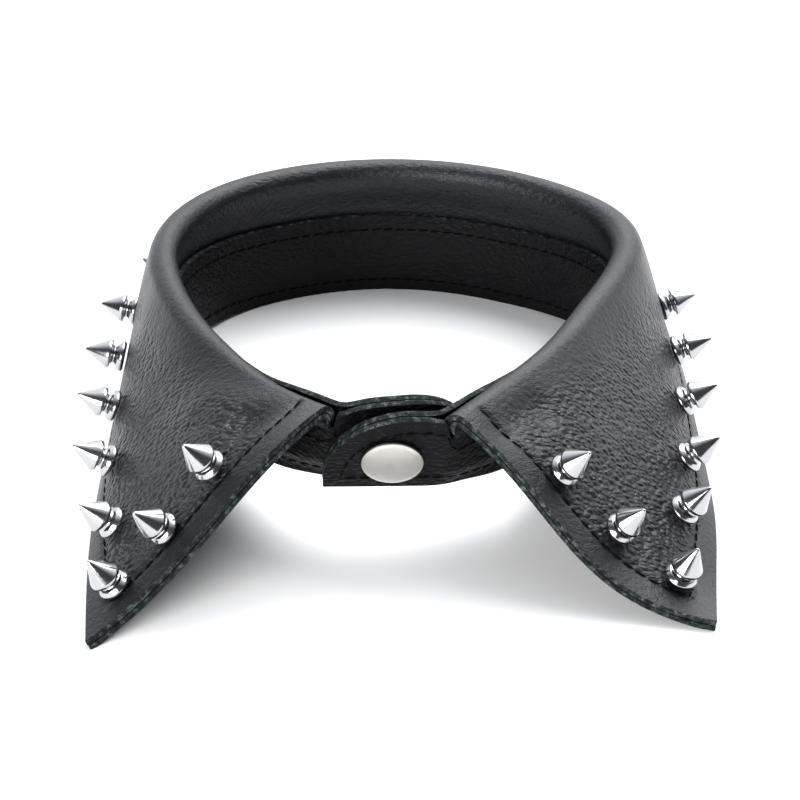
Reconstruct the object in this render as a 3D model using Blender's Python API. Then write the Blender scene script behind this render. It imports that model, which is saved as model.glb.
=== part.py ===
"""Detachable shirt collar in black leather, closed at the front by a snap and edged with screwed-on cone spikes.

The collar stands by itself on its two points and on the back of its band. +Z is up, the snap faces -Y and
the wearer's neck axis is near the Z axis. All sizes below are millimetres and degrees; MM makes them metres.
"""

import math
from collections import namedtuple

import bpy
import numpy as np
from mathutils import Matrix, Vector

MM = 0.001

# Leather
PLY = 1.5
PLY_GAP = 0.3
LEAF_THICKNESS = 2 * PLY + PLY_GAP
HALF_BAND = PLY + PLY_GAP / 2

# Leaf: the part that folds over the band and falls outside it
SEAM_OVERLAP = 11.0
SEAM_CLEARANCE = 0.3
SEAM_HIGHEST = 34.6
UNDER_PLY_STARTS_ABOVE = 0.6
UNDER_PLY_FIRST_ROW = 2
LEAF_SECTIONS = 49
FOLD_ROWS = 6
FALL_ROWS = 7
SLOPE_REACH = 1.3
BOW_SCALE = 27 / 4

# Band: the upright strip round the neck, sewn to both faces of the leaf's inner edge
BAND_HEIGHT = 24.5
BAND_END_ROUND = 22.0
BAND_END_START = 0.3
BAND_CLOSES_OVER = 6.0
BAND_PARTS_OVER = 7.0
BAND_SEAM_MARGIN = 0.8
PLACES_BESIDE_LEAF = (1.4, 2.2, 4.5)
OUTER_PLY_STEPS_AT = 1.4
OUTER_PLY_STEP = 0.8

# Snap fastener
CAP_DIAMETER = 15.0
CAP_HEIGHT = 1.9
CAP_UP_THE_BAND = 10.2
CAP_FROM_TAB_END = 17.0
SOCKET_DIAMETER = 11.0
SOCKET_RING = 7.6
SOCKET_HOLE = 5.4
SOCKET_HEIGHT = 0.9
SOCKET_PLATE = 0.4
STUD_DIAMETER = 10.5
POST_DIAMETER = 9.0
POST_HEIGHT = 0.9

# Spikes and the screws behind them
FLANGE_DIAMETER = 8.2
FLANGE_HEIGHT = 2.2
NECK_DIAMETER = 4.6
CONE_DIAMETER = 7.8
CONE_RIM_BOTTOM = 3.7
CONE_RIM_TOP = 4.6
SPIKE_HEIGHT = 10.7
SPIKE_TIP_RADIUS = 0.7
SPIKE_SIDES = 10
SCREW_DIAMETER = 6.6
SCREW_HEIGHT = 1.3
OUTER_INSET = 11.3
OUTER_ROW_FROM_LEFT_FRONT = 26.7
OUTER_ROW_FROM_RIGHT_FRONT = 29.0
LAST_SPIKE_SET_BACK = 3.7
OUTER_SPIKES = 17
STAND_OFF = 0.3
FINE_SECTIONS = 1201
FINE_ROWS = 80
FRONT_SECTIONS = 90
SPIKE_STAND_OFF = 0.5
SCREW_STAND_OFF = 0.45

LeafSection = namedtuple("LeafSection", "fold_x fold_y fold_top radius edge_x edge_y edge_z leave arrive bow_near bow_far")
LEAF_SECTION_TABLE = (
    LeafSection(-18.2, 0.1, 41.5, 3.5, -71.8, -38.6, 2.6, 0, 18, 5.2, -0.2),
    LeafSection(-31.3, 10.2, 41.8, 3.6, -74.4, -16.0, 3.0, 16, 38, 3.4, 0.2),
    LeafSection(-42.0, 24.3, 42.0, 3.8, -76.0, 5.0, 3.2, 36, 58, 1.4, 0.0),
    LeafSection(-52.4, 42.4, 42.0, 4.1, -76.4, 30.0, 4.0, 58, 72, 0.0, 0.0),
    LeafSection(-60.6, 64.0, 42.0, 4.2, -76.2, 59.0, 4.8, 68, 78, 0.0, 0.0),
    LeafSection(-64.0, 85.0, 42.0, 4.0, -75.5, 86.0, 5.0, 72, 77, 0.0, 0.0),
    LeafSection(-61.2, 102.0, 42.0, 3.9, -72.0, 107.5, 4.6, 72, 75, 0.0, 0.0),
    LeafSection(-51.2, 118.2, 42.0, 3.9, -60.0, 129.0, 3.6, 72, 72, 0.0, 0.0),
    LeafSection(-29.0, 132.0, 42.0, 4.0, -34.0, 146.5, 2.4, 72, 68, 0.0, 0.0),
    LeafSection(0.0, 136.5, 42.0, 4.1, 0.0, 152.5, 2.0, 72, 66, 0.0, 0.0),
    LeafSection(27.0, 130.5, 42.0, 4.2, 33.0, 145.5, 2.4, 72, 67, 0.0, 0.0),
    LeafSection(47.0, 118.0, 42.0, 4.4, 57.5, 129.0, 3.6, 72, 68, 0.0, 0.0),
    LeafSection(58.2, 104.5, 42.0, 4.6, 71.0, 110.5, 4.6, 70, 68, 0.0, 0.0),
    LeafSection(61.8, 88.0, 42.0, 4.6, 77.5, 90.0, 5.0, 68, 66, 0.0, 0.0),
    LeafSection(58.0, 71.5, 42.0, 4.4, 78.6, 66.0, 5.0, 62, 64, 0.0, 0.0),
    LeafSection(48.4, 49.8, 42.0, 4.1, 78.7, 36.0, 4.2, 52, 56, 0.0, 0.0),
    LeafSection(38.0, 28.9, 42.0, 3.8, 78.2, 9.0, 3.4, 42, 42, -0.1, -0.5),
    LeafSection(26.4, 12.8, 41.8, 3.6, 75.8, -11.5, 3.0, 34, 26, -0.4, -1.6),
    LeafSection(13.4, -3.4, 41.5, 3.5, 73.2, -31.5, 3.0, 30, 4, -0.6, -3.4),
)

BandSection = namedtuple("BandSection", "foot_x foot_y bottom top_x top_y")
BAND_SECTION_TABLE = (
    BandSection(20.5, 19.4, 15.8, 18.6, 15.4),
    BandSection(14.0, 14.2, 16.9, 13.0, 9.2),
    BandSection(7.0, 11.2, 17.5, 6.8, 5.2),
    BandSection(-1.6, 9.9, 17.8, -1.3, 3.2),
    BandSection(-9.5, 9.4, 17.7, -8.6, 2.1),
    BandSection(-15.4, 10.0, 16.9, -13.8, 2.4),
    BandSection(-20.4, 12.0, 16.2, -19.0, 6.0),
    BandSection(-26.2, 15.2, 15.4, -25.6, 11.2),
    BandSection(-33.5, 22.0, 14.0, -33.3, 18.8),
    BandSection(-43.8, 36.0, 12.0, -44.4, 35.7),
    BandSection(-53.4, 52.4, 9.6, -53.4, 52.4),
    BandSection(-59.6, 71.0, 7.0, -59.6, 71.0),
    BandSection(-61.9, 87.5, 4.4, -61.9, 87.5),
    BandSection(-59.3, 103.7, 2.4, -59.3, 103.7),
    BandSection(-48.6, 120.1, 0.8, -48.6, 120.1),
    BandSection(-28.6, 132.2, -0.2, -28.6, 132.2),
    BandSection(0.0, 136.8, -0.4, 0.0, 136.8),
    BandSection(25.2, 130.9, -0.2, 25.2, 130.9),
    BandSection(44.4, 119.2, 1.0, 44.4, 119.2),
    BandSection(55.5, 105.1, 2.8, 55.5, 105.1),
    BandSection(59.1, 88.6, 4.8, 59.1, 88.6),
    BandSection(55.0, 70.4, 7.2, 55.0, 70.4),
    BandSection(45.9, 50.3, 9.8, 45.9, 50.6),
    BandSection(36.5, 32.5, 12.2, 35.5, 31.8),
    BandSection(26.9, 17.8, 14.6, 24.7, 16.2),
    BandSection(20.8, 11.6, 16.0, 17.8, 7.6),
    BandSection(14.6, 7.6, 17.2, 11.6, 0.0),
    BandSection(9.5, 5.2, 17.7, 7.9, -2.8),
    BandSection(4.6, 4.3, 18.0, 3.6, -3.5),
    BandSection(-1.6, 4.0, 18.1, -1.8, -3.8),
    BandSection(-10.0, 4.0, 18.0, -10.2, -3.7),
    BandSection(-18.8, 4.2, 17.8, -19.0, -3.4),
)
BAND_ROW_AT_LEFT_OF_LEAF = 5
BAND_ROW_AT_RIGHT_OF_LEAF = 27

FrontSeat = namedtuple("FrontSeat", "from_point inset")
LEFT_FRONT_SEATS = (FrontSeat(15.5, 8.2), FrontSeat(31.4, 9.0), FrontSeat(49.1, 11.0))
RIGHT_FRONT_SEATS = (FrontSeat(14.7, 10.3), FrontSeat(31.4, 12.4), FrontSeat(49.6, 10.9))

LEATHER = ("black_leather", (0.030, 0.031, 0.034), 0.0, 0.45)
CHROME = ("chrome", (0.86, 0.86, 0.87), 1.0, 0.08)
SATIN_METAL = ("satin_nickel", (0.72, 0.70, 0.67), 1.0, 0.28)


# Numbers and curves

def distance_along(points):
    """The running length of a line of points."""
    steps = np.linalg.norm(np.diff(points, axis=0), axis=1)
    return np.concatenate([[0.0], np.cumsum(steps)])


def smooth_columns(table, knots, places):
    """Each column of the table as a natural cubic spline over the knots, read at the places."""
    gaps = np.diff(knots)
    system = np.eye(len(knots))
    wanted = np.zeros_like(table)
    for row in range(1, len(knots) - 1):
        before = gaps[row - 1]
        after = gaps[row]
        system[row, row - 1:row + 2] = before, 2 * (before + after), after
        rise_after = (table[row + 1] - table[row]) / after
        rise_before = (table[row] - table[row - 1]) / before
        wanted[row] = 6 * (rise_after - rise_before)
    bends = np.linalg.solve(system, wanted)
    cell = np.clip(np.searchsorted(knots, places, side="right") - 1, 0, len(knots) - 2)
    width = gaps[cell][:, None]
    left = (places - knots[cell])[:, None]
    right = width - left
    curved = (bends[cell] * right ** 3 + bends[cell + 1] * left ** 3) / (6 * width)
    from_left = (table[cell] / width - bends[cell] * width / 6) * right
    from_right = (table[cell + 1] / width - bends[cell + 1] * width / 6) * left
    return curved + from_left + from_right


def soft_step(value):
    """0 below 0, 1 above 1 and a smooth rise between."""
    inside = np.clip(value, 0.0, 1.0)
    return inside * inside * (3 - 2 * inside)


def unit(vectors):
    return vectors / np.linalg.norm(vectors, axis=-1, keepdims=True)


def grid_normals(grid):
    """Unit normals of a grid of points, from its slopes along both of its directions."""
    along = np.gradient(grid, axis=0)
    across = np.gradient(grid, axis=1)
    return unit(np.cross(along, across))


# Band

class Band:
    """The seam face between the band's two plies, as a function of the way along it and up it."""

    def __init__(self):
        self.table = np.array(BAND_SECTION_TABLE, float)
        self.knots = distance_along(self.table[:, :2])
        self.length = self.knots[-1]
        self.leaf_from = self.knots[BAND_ROW_AT_LEFT_OF_LEAF]
        self.leaf_to = self.knots[BAND_ROW_AT_RIGHT_OF_LEAF]

    def directions(self, places):
        """Foot point, the way up the band and the way out of it, at each place."""
        columns = smooth_columns(self.table, self.knots, places)
        ahead = smooth_columns(self.table, self.knots, places + 0.01)
        foot = np.column_stack([columns[:, :2], np.maximum(columns[:, 2], 0.0)])
        shift = columns[:, 3:5] - columns[:, :2]
        rise = np.sqrt(BAND_HEIGHT ** 2 - (shift ** 2).sum(axis=1))
        up = np.column_stack([shift, rise]) / BAND_HEIGHT
        halfway = 0.5 * (ahead[:, :2] + ahead[:, 3:5] - columns[:, :2] - columns[:, 3:5])
        forward = np.column_stack([halfway, np.zeros(len(places))])
        outward = unit(np.cross(up, forward))
        return foot, up, outward

    def face(self, places, heights, offsets):
        """Points at the given heights up the band, moved outwards by the offsets; arrays of places x rows."""
        foot, up, outward = self.directions(places)
        return foot[:, None] + heights[:, :, None] * up[:, None] + offsets[:, :, None] * outward[:, None]

    def full_height(self, places):
        """The band's height: constant, and falling along a quarter ellipse at both rounded ends."""
        to_end = np.minimum(places, self.length - places)
        left = np.clip(1 - to_end / BAND_END_ROUND, 0.0, 1.0)
        return BAND_HEIGHT * np.sqrt(1 - left * left)

    def seam_top(self, places):
        """How far up the band the leaf comes out from between the plies."""
        foot, up, _ = self.directions(places)
        return np.minimum(BAND_HEIGHT, (SEAM_HIGHEST - foot[:, 2]) / up[:, 2])


def leaf_on_band(band, fold_line):
    """For each point of the fold, the place along the band that lies nearest to it."""
    samples = np.linspace(band.leaf_from, band.leaf_to, 1500)
    top = band.face(samples, np.full((len(samples), 1), BAND_HEIGHT), np.zeros((len(samples), 1)))[:, 0]
    away = np.linalg.norm(fold_line[:, None, :2] - top[None, :, :2], axis=2)
    return samples[np.argmin(away, axis=1)]


# Leaf

class Leaf:
    """The leaf's good side, from its sewn inner edge up over the fold and down to its free outer edge."""

    def __init__(self, band):
        self.band = band
        self.table = np.array(LEAF_SECTION_TABLE, float)
        self.knots = distance_along(self.table[:, :2])
        ends = self.table[[0, -1], :2]
        self.band_ends = leaf_on_band(band, ends)

    def places_on_band(self, sections):
        """Where along the band each section of the leaf is sewn in."""
        columns = smooth_columns(self.table, self.knots, sections * self.knots[-1])
        return leaf_on_band(self.band, columns[:, :2])

    def grid(self, sections, fold_rows, fall_rows):
        """Points of the good side, sections x rows, and the first row of the fall."""
        columns = smooth_columns(self.table, self.knots, sections * self.knots[-1])
        fold = columns[:, 0:3]
        radius = columns[:, 3:4]
        edge = columns[:, 4:7]
        start = np.radians(columns[:, 7])
        end = np.radians(columns[:, 8])
        bow_near = columns[:, 9, None, None]
        bow_far = columns[:, 10, None, None]
        heading = unit(edge[:, :2] - fold[:, :2])
        heading = np.column_stack([heading, np.zeros(len(heading))])
        sideways = np.column_stack([-heading[:, 1], heading[:, 0], np.zeros(len(heading))])
        axis = fold - radius * [0.0, 0.0, 1.0]

        places = leaf_on_band(self.band, fold)
        top = self.band.seam_top(places)
        sewn_heights = top[:, None] + np.array([-SEAM_OVERLAP, -SEAM_OVERLAP / 2, UNDER_PLY_STARTS_ABOVE])
        sewn = self.band.face(places, sewn_heights, np.full_like(sewn_heights, PLY_GAP / 2))

        turn_in = axis - heading * radius
        rise = np.array([0.33, 0.67])[None, :, None]
        reach = (turn_in[:, 2] - sewn[:, 2, 2])[:, None, None] * np.array([0.0, 0.0, 1.0])
        ease = 3 * rise ** 2 - 2 * rise ** 3
        free = sewn[:, 2:3] * (1 - ease) + turn_in[:, None] * ease
        free = free + reach * (rise - ease)

        turn = np.linspace(0.0, 1.0, fold_rows)[None, :] * (np.pi / 2 + start)[:, None]
        out = -np.cos(turn) * radius
        up = np.sin(turn) * radius
        folded = axis[:, None] + out[:, :, None] * heading[:, None]
        folded[:, :, 2] += up

        leave = folded[:, -1]
        steps = np.linspace(0.0, 1.0, fall_rows + 1)[1:][None, :, None]
        chord = SLOPE_REACH * np.linalg.norm(edge - leave, axis=1)[:, None]
        first = heading * np.cos(start)[:, None] * chord
        first[:, 2] = -np.sin(start) * chord[:, 0]
        last = heading * np.cos(end)[:, None] * chord
        last[:, 2] = -np.sin(end) * chord[:, 0]
        fall = (
            (2 * steps ** 3 - 3 * steps ** 2 + 1) * leave[:, None]
            + (steps ** 3 - 2 * steps ** 2 + steps) * first[:, None]
            + (3 * steps ** 2 - 2 * steps ** 3) * edge[:, None]
            + (steps ** 3 - steps ** 2) * last[:, None]
        )
        bow = BOW_SCALE * steps * (1 - steps) * (bow_near * (1 - steps) + bow_far * steps)
        fall = fall + bow * sideways[:, None]
        rows = np.concatenate([sewn, free, folded, fall], axis=1)
        return rows, sewn.shape[1] + free.shape[1] + fold_rows - 1


def ply_of(grid, depth):
    """The two faces of a ply that starts at the given depth under the good side, held above the floor."""
    normals = grid_normals(grid)
    faces = []
    for offset in (depth, depth + PLY):
        face = grid - normals * offset
        face[:, :, 2] = np.maximum(face[:, :, 2], 0.0)
        faces.append(face)
    return faces


# Meshes and materials

def material(finish):
    name, colour, metallic, roughness = finish
    made = bpy.data.materials.get(name)
    if made:
        return made
    made = bpy.data.materials.new(name)
    made.use_nodes = True
    shader = made.node_tree.nodes["Principled BSDF"]
    shader.inputs["Base Color"].default_value = (*colour, 1.0)
    shader.inputs["Metallic"].default_value = metallic
    shader.inputs["Roughness"].default_value = roughness
    made.diffuse_color = (*colour, 1.0)
    return made


def add_object(name, mesh, finish, smooth_angle=40):
    mesh.materials.append(material(finish))
    mesh.shade_smooth()
    mesh.set_sharp_from_angle(angle=math.radians(smooth_angle))
    made = bpy.data.objects.new(name, mesh)
    bpy.context.scene.collection.objects.link(made)
    return made


def slab(name, front, back, finish):
    """A closed sheet between two grids of points: a front face, a back face and a wall all round."""
    rows, columns = front.shape[:2]
    count = rows * columns
    points = np.concatenate([front.reshape(-1, 3), back.reshape(-1, 3)]) * MM
    number = np.arange(count).reshape(rows, columns)
    corners = (number[:-1, :-1], number[1:, :-1], number[1:, 1:], number[:-1, 1:])
    quads = np.stack([corner.reshape(-1) for corner in corners], axis=1)
    halves = np.concatenate([quads[:, [0, 1, 2]], quads[:, [0, 2, 3]]])
    border = np.concatenate([number[:-1, 0], number[-1, :-1], number[:0:-1, -1], number[0, :0:-1]])
    following = np.roll(border, -1)
    walls = np.concatenate([
        np.stack([following, border, border + count], axis=1),
        np.stack([following, border + count, following + count], axis=1),
    ])
    faces = np.concatenate([halves, halves[:, ::-1] + count, walls])
    mesh = bpy.data.meshes.new(name)
    mesh.from_pydata(points.tolist(), [], faces.tolist())
    mesh.validate()
    return add_object(name, mesh, finish)


def turned_mesh(name, profile, sides):
    """A closed solid turned about Z from a profile of (radius, height) pairs that starts and ends on the axis."""
    angles = np.arange(sides) * 2 * np.pi / sides
    around = np.column_stack([np.cos(angles), np.sin(angles)])
    rings = [
        np.column_stack([around * radius, np.full(sides, height)])
        for radius, height in profile[1:-1]
    ]
    points = [np.array([[0.0, 0.0, profile[0][1]]]), *rings, np.array([[0.0, 0.0, profile[-1][1]]])]
    points = np.concatenate(points) * MM
    faces = []
    last = len(points) - 1
    top_ring = 1 + (len(rings) - 1) * sides
    for side in range(sides):
        after = (side + 1) % sides
        faces.append((0, 1 + after, 1 + side))
        faces.append((last, top_ring + side, top_ring + after))
        for ring in range(len(rings) - 1):
            low = 1 + ring * sides
            high = low + sides
            faces.append((low + side, low + after, high + after, high + side))
    mesh = bpy.data.meshes.new(name)
    mesh.from_pydata(points.tolist(), [], faces)
    mesh.validate()
    return mesh


def seat(made, point, direction):
    """Stands a turned piece on a point with its axis along a direction."""
    side = unit(np.cross([0.0, 0.0, 1.0], direction))
    matrix = np.eye(4)
    matrix[:3, 0] = side
    matrix[:3, 1] = np.cross(direction, side)
    matrix[:3, 2] = direction
    matrix[:3, 3] = point * MM
    made.matrix_world = Matrix(matrix.tolist())


# Pieces

def make_band(band, leaf):
    """Two plies cut alike: the inner one lies on the neck side, the outer one behind the leaf's sewn edge."""
    under_leaf_from, under_leaf_to = leaf.band_ends
    middle = leaf.places_on_band(np.linspace(0, 1, LEAF_SECTIONS))
    rounding = BAND_END_START + (BAND_END_ROUND - BAND_END_START) * np.linspace(0, 1, 7) ** 1.8
    beside = np.array(PLACES_BESIDE_LEAF)
    places = np.concatenate([
        rounding,
        (under_leaf_from - beside)[::-1],
        middle,
        under_leaf_to + beside,
        (band.length - rounding)[::-1],
    ])
    height = band.full_height(places)

    inner_heights = height[:, None] * np.array([0.0, 0.4, 0.75, 1.0])
    no_gap = np.zeros_like(inner_heights)
    slab(
        "band_inner_ply",
        band.face(places, inner_heights, no_gap - HALF_BAND),
        band.face(places, inner_heights, no_gap - PLY_GAP / 2),
        LEATHER,
    )

    outside = np.maximum(under_leaf_from - places, places - under_leaf_to)
    beside_leaf = 1 - soft_step(outside / BAND_PARTS_OVER)
    under_leaf = 1 - soft_step((outside - OUTER_PLY_STEPS_AT) / OUTER_PLY_STEP)
    seam_top = band.seam_top(places)
    outer_height = height * (1 - under_leaf) + np.minimum(height, seam_top) * under_leaf
    seam_bottom = seam_top - SEAM_OVERLAP - BAND_SEAM_MARGIN
    closed_below = np.maximum(seam_bottom - BAND_CLOSES_OVER, 1.0)
    steps = np.stack([0 * seam_top, closed_below, seam_bottom, (seam_bottom + seam_top) / 2, seam_top], axis=1)
    outer_heights = outer_height[:, None] * steps / seam_top[:, None]
    parted = np.array([0.0, 0.0, 1.0, 1.0, 1.0])
    gap = (PLY + SEAM_CLEARANCE) * parted * beside_leaf[:, None]
    slab(
        "band_outer_ply",
        band.face(places, outer_heights, gap + PLY_GAP / 2),
        band.face(places, outer_heights, gap + HALF_BAND),
        LEATHER,
    )


def make_leaf(leaf):
    """Two plies folded over together; only the top one is sewn in between the band's plies."""
    grid, _ = leaf.grid(np.linspace(0, 1, LEAF_SECTIONS), FOLD_ROWS, FALL_ROWS)
    front, back = ply_of(grid, 0.0)
    slab("leaf_top_ply", front, back, LEATHER)
    front, back = ply_of(grid, PLY + PLY_GAP)
    slab("leaf_under_ply", front[:, UNDER_PLY_FIRST_ROW:], back[:, UNDER_PLY_FIRST_ROW:], LEATHER)


def spike_profile():
    """Flange with a round edge, hollow neck, straight rim, cone and small round tip."""
    flange = FLANGE_DIAMETER / 2
    neck = NECK_DIAMETER / 2
    cone = CONE_DIAMETER / 2
    return (
        (0.0, 0.0),
        (flange - 0.7, 0.0),
        (flange, FLANGE_HEIGHT * 0.35),
        (flange - 0.1, FLANGE_HEIGHT * 0.7),
        (flange - 0.9, FLANGE_HEIGHT),
        (neck, (FLANGE_HEIGHT + CONE_RIM_BOTTOM) / 2),
        (cone - 0.3, CONE_RIM_BOTTOM),
        (cone, CONE_RIM_BOTTOM + 0.2),
        (cone, CONE_RIM_TOP),
        (SPIKE_TIP_RADIUS, SPIKE_HEIGHT - SPIKE_TIP_RADIUS * 0.9),
        (0.0, SPIKE_HEIGHT),
    )


def screw_profile():
    """Low domed screw head."""
    radius = SCREW_DIAMETER / 2
    return (
        (0.0, 0.0),
        (radius, 0.0),
        (radius * 0.8, SCREW_HEIGHT),
        (0.0, SCREW_HEIGHT),
    )


def outer_row_seats(fall, normals):
    """Evenly spaced seats at one inset from the lower edge, a set way from both front edges; the last is set back."""
    to_lower_edge = np.linalg.norm(fall - fall[:, -1:], axis=2)
    row = np.argmin(np.abs(to_lower_edge - OUTER_INSET), axis=1)
    sections = np.arange(len(fall))
    points = fall[sections, row]
    directions = normals[sections, row]
    clear = np.ones(len(fall), bool)
    for front_edge, start in ((fall[0], OUTER_ROW_FROM_LEFT_FRONT), (fall[-1], OUTER_ROW_FROM_RIGHT_FRONT)):
        clear &= np.linalg.norm(points[:, None] - front_edge[None], axis=2).min(axis=1) >= start
    points = points[clear]
    directions = directions[clear]
    run = distance_along(points)
    places = np.linspace(0.0, run[-1], OUTER_SPIKES)
    places[-1] -= LAST_SPIKE_SET_BACK
    picked = np.searchsorted(run, places - 0.01)
    return list(zip(points[picked], directions[picked]))


def front_edge_seats(fall, normals, wanted):
    """Seats at set distances from the leaf's point and from its front edge; the first section is that edge."""
    near = fall[:FRONT_SECTIONS].reshape(-1, 3)
    near_normals = normals[:FRONT_SECTIONS].reshape(-1, 3)
    from_point = np.linalg.norm(near - fall[0, -1], axis=1)
    from_edge = np.linalg.norm(near[:, None] - fall[None, 0], axis=2).min(axis=1)
    seats = []
    for seat_wanted in wanted:
        picked = np.argmin(np.hypot(from_edge - seat_wanted.inset, from_point - seat_wanted.from_point))
        seats.append((near[picked], near_normals[picked]))
    return seats


def spike_seats(leaf):
    """Points and normals on the leaf's good side where the spikes stand."""
    grid, first = leaf.grid(np.linspace(0, 1, FINE_SECTIONS), FOLD_ROWS, FINE_ROWS)
    normals = grid_normals(grid)[:, first:]
    fall = grid[:, first:]
    seats = front_edge_seats(fall, normals, LEFT_FRONT_SEATS)
    seats += outer_row_seats(fall, normals)
    seats += front_edge_seats(fall[::-1], normals[::-1], RIGHT_FRONT_SEATS)
    return seats


def make_spikes(leaf):
    spike_mesh = turned_mesh("spike", spike_profile(), SPIKE_SIDES)
    screw_mesh = turned_mesh("screw", screw_profile(), SPIKE_SIDES)
    for number, (point, normal) in enumerate(spike_seats(leaf), start=1):
        spike = add_object(f"spike_{number:02d}", spike_mesh.copy(), CHROME, 35)
        seat(spike, point + normal * SPIKE_STAND_OFF, normal)
        screw = add_object(f"screw_{number:02d}", screw_mesh.copy(), CHROME, 35)
        seat(screw, point - normal * (LEAF_THICKNESS + SCREW_STAND_OFF), -normal)


def cap_profile():
    """Low dome with a small rolled rim."""
    radius = CAP_DIAMETER / 2
    return (
        (0.0, 0.0),
        (radius - 0.5, 0.0),
        (radius, 0.5),
        (radius - 0.25, 0.95),
        (radius * 0.78, CAP_HEIGHT * 0.78),
        (radius * 0.42, CAP_HEIGHT * 0.95),
        (0.0, CAP_HEIGHT),
    )


def socket_profile():
    """Shallow plate with a socket ring that stands up round a hollow."""
    radius = SOCKET_DIAMETER / 2
    return (
        (0.0, 0.0),
        (radius, 0.0),
        (radius, 0.5),
        (SOCKET_RING / 2 + 0.7, 0.6),
        (SOCKET_RING / 2, SOCKET_HEIGHT),
        (SOCKET_HOLE / 2, SOCKET_HEIGHT),
        (SOCKET_HOLE / 2, SOCKET_PLATE),
        (0.0, SOCKET_PLATE),
    )


def stud_profile(height):
    """Shallow plate with a knob that reaches into the socket's hollow."""
    radius = STUD_DIAMETER / 2
    knob = SOCKET_HOLE / 2 - 2 * STAND_OFF
    return (
        (0.0, 0.0),
        (radius, 0.0),
        (radius, 0.5),
        (knob, 0.6),
        (knob, height - 0.3),
        (knob - 0.3, height),
        (0.0, height),
    )


def post_profile():
    """Flat button head that closes the stud's post on the neck side."""
    radius = POST_DIAMETER / 2
    return (
        (0.0, 0.0),
        (radius, 0.0),
        (radius, 0.4),
        (radius * 0.7, POST_HEIGHT),
        (0.0, POST_HEIGHT),
    )


def line_meets_face(band, start, direction, last_place):
    """Where a line meets the seam face of the band's left end, and the way out of the face there."""
    places = np.linspace(0.0, last_place, 241)
    heights = np.tile(np.linspace(2.0, BAND_HEIGHT - 4.0, 121), (len(places), 1))
    points = band.face(places, heights, np.zeros_like(heights))
    ahead = (points - start) @ direction
    aside = np.linalg.norm(points - start - ahead[:, :, None] * direction, axis=2)
    nearest = np.unravel_index(np.argmin(aside), aside.shape)
    _, _, outward = band.directions(places[nearest[0]:nearest[0] + 1])
    return points[nearest], outward[0]


def make_snap(band):
    """Domed cap on the tab, socket behind it, stud on the end below the tab and the stud's post on the neck side."""
    place = np.array([band.length - CAP_FROM_TAB_END])
    _, _, outward = band.directions(place)
    outward = outward[0]
    on_tab = band.face(place, np.array([[CAP_UP_THE_BAND]]), np.zeros((1, 1)))[0, 0]
    on_end, end_outward = line_meets_face(band, on_tab, -outward, 2 * CAP_FROM_TAB_END)
    between = np.dot(on_tab - on_end, outward) - 2 * HALF_BAND

    cap = add_object("snap_cap", turned_mesh("snap_cap", cap_profile(), 28), SATIN_METAL, 35)
    seat(cap, on_tab + outward * (HALF_BAND + STAND_OFF), outward)

    socket = add_object("snap_socket", turned_mesh("snap_socket", socket_profile(), 18), SATIN_METAL, 35)
    seat(socket, on_tab - outward * (HALF_BAND + STAND_OFF), -outward)

    stud_height = between - 3 * STAND_OFF - SOCKET_PLATE
    stud = add_object("snap_stud", turned_mesh("snap_stud", stud_profile(stud_height), 18), SATIN_METAL, 35)
    seat(stud, on_end + end_outward * (HALF_BAND + STAND_OFF), end_outward)

    post = add_object("snap_post", turned_mesh("snap_post", post_profile(), 18), SATIN_METAL, 35)
    seat(post, on_end - end_outward * (HALF_BAND + STAND_OFF), -end_outward)


def clear_scene():
    for old in list(bpy.data.objects):
        bpy.data.objects.remove(old, do_unlink=True)


def centre_on_origin():
    """Moves every piece by one amount, so that the middle of the whole footprint is the origin."""
    corners = []
    for made in bpy.context.scene.objects:
        points = np.array([vertex.co for vertex in made.data.vertices])
        turn = np.array(made.matrix_world)
        world = points @ turn[:3, :3].T + turn[:3, 3]
        corners.append([world.min(axis=0), world.max(axis=0)])
    corners = np.array(corners)
    low = corners[:, 0].min(axis=0)
    high = corners[:, 1].max(axis=0)
    shift = Vector((-(low[0] + high[0]) / 2, -(low[1] + high[1]) / 2, -low[2]))
    for made in bpy.context.scene.objects:
        made.matrix_world = Matrix.Translation(shift) @ made.matrix_world


def main():
    clear_scene()
    band = Band()
    leaf = Leaf(band)
    make_band(band, leaf)
    make_leaf(leaf)
    make_snap(band)
    make_spikes(leaf)
    centre_on_origin()


main()
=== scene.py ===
"""Looks of the black leather collar: grained plies with raw edges and stitching, plated spikes and a snap.

Sizes are millimetres in the collar's drawing frame; on_frame moves them to the shared frame in metres.
"""

import math
from collections import namedtuple

import bpy
import numpy as np
from mathutils import Euler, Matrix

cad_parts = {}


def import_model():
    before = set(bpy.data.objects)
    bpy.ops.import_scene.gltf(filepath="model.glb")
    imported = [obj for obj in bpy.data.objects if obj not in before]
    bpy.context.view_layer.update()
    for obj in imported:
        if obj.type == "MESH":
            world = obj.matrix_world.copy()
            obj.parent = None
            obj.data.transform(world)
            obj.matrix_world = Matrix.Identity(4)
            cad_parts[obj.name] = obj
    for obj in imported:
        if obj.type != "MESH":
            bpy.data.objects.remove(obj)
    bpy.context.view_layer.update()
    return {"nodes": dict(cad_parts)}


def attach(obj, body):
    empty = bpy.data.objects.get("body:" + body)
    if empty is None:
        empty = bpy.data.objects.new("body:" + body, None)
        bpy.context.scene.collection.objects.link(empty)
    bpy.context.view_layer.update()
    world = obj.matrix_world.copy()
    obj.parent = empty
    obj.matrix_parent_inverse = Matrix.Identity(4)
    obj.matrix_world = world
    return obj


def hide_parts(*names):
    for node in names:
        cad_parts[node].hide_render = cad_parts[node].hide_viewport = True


MM = 0.001
POINTS_AT_A_TIME = 4000
SHIFT = np.array([0.227, -60.140, 0.0])

# Leather
PLY = 1.5
PLY_GAP = 0.3
LEAF_THICKNESS = 2 * PLY + PLY_GAP
HALF_BAND = PLY + PLY_GAP / 2

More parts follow.
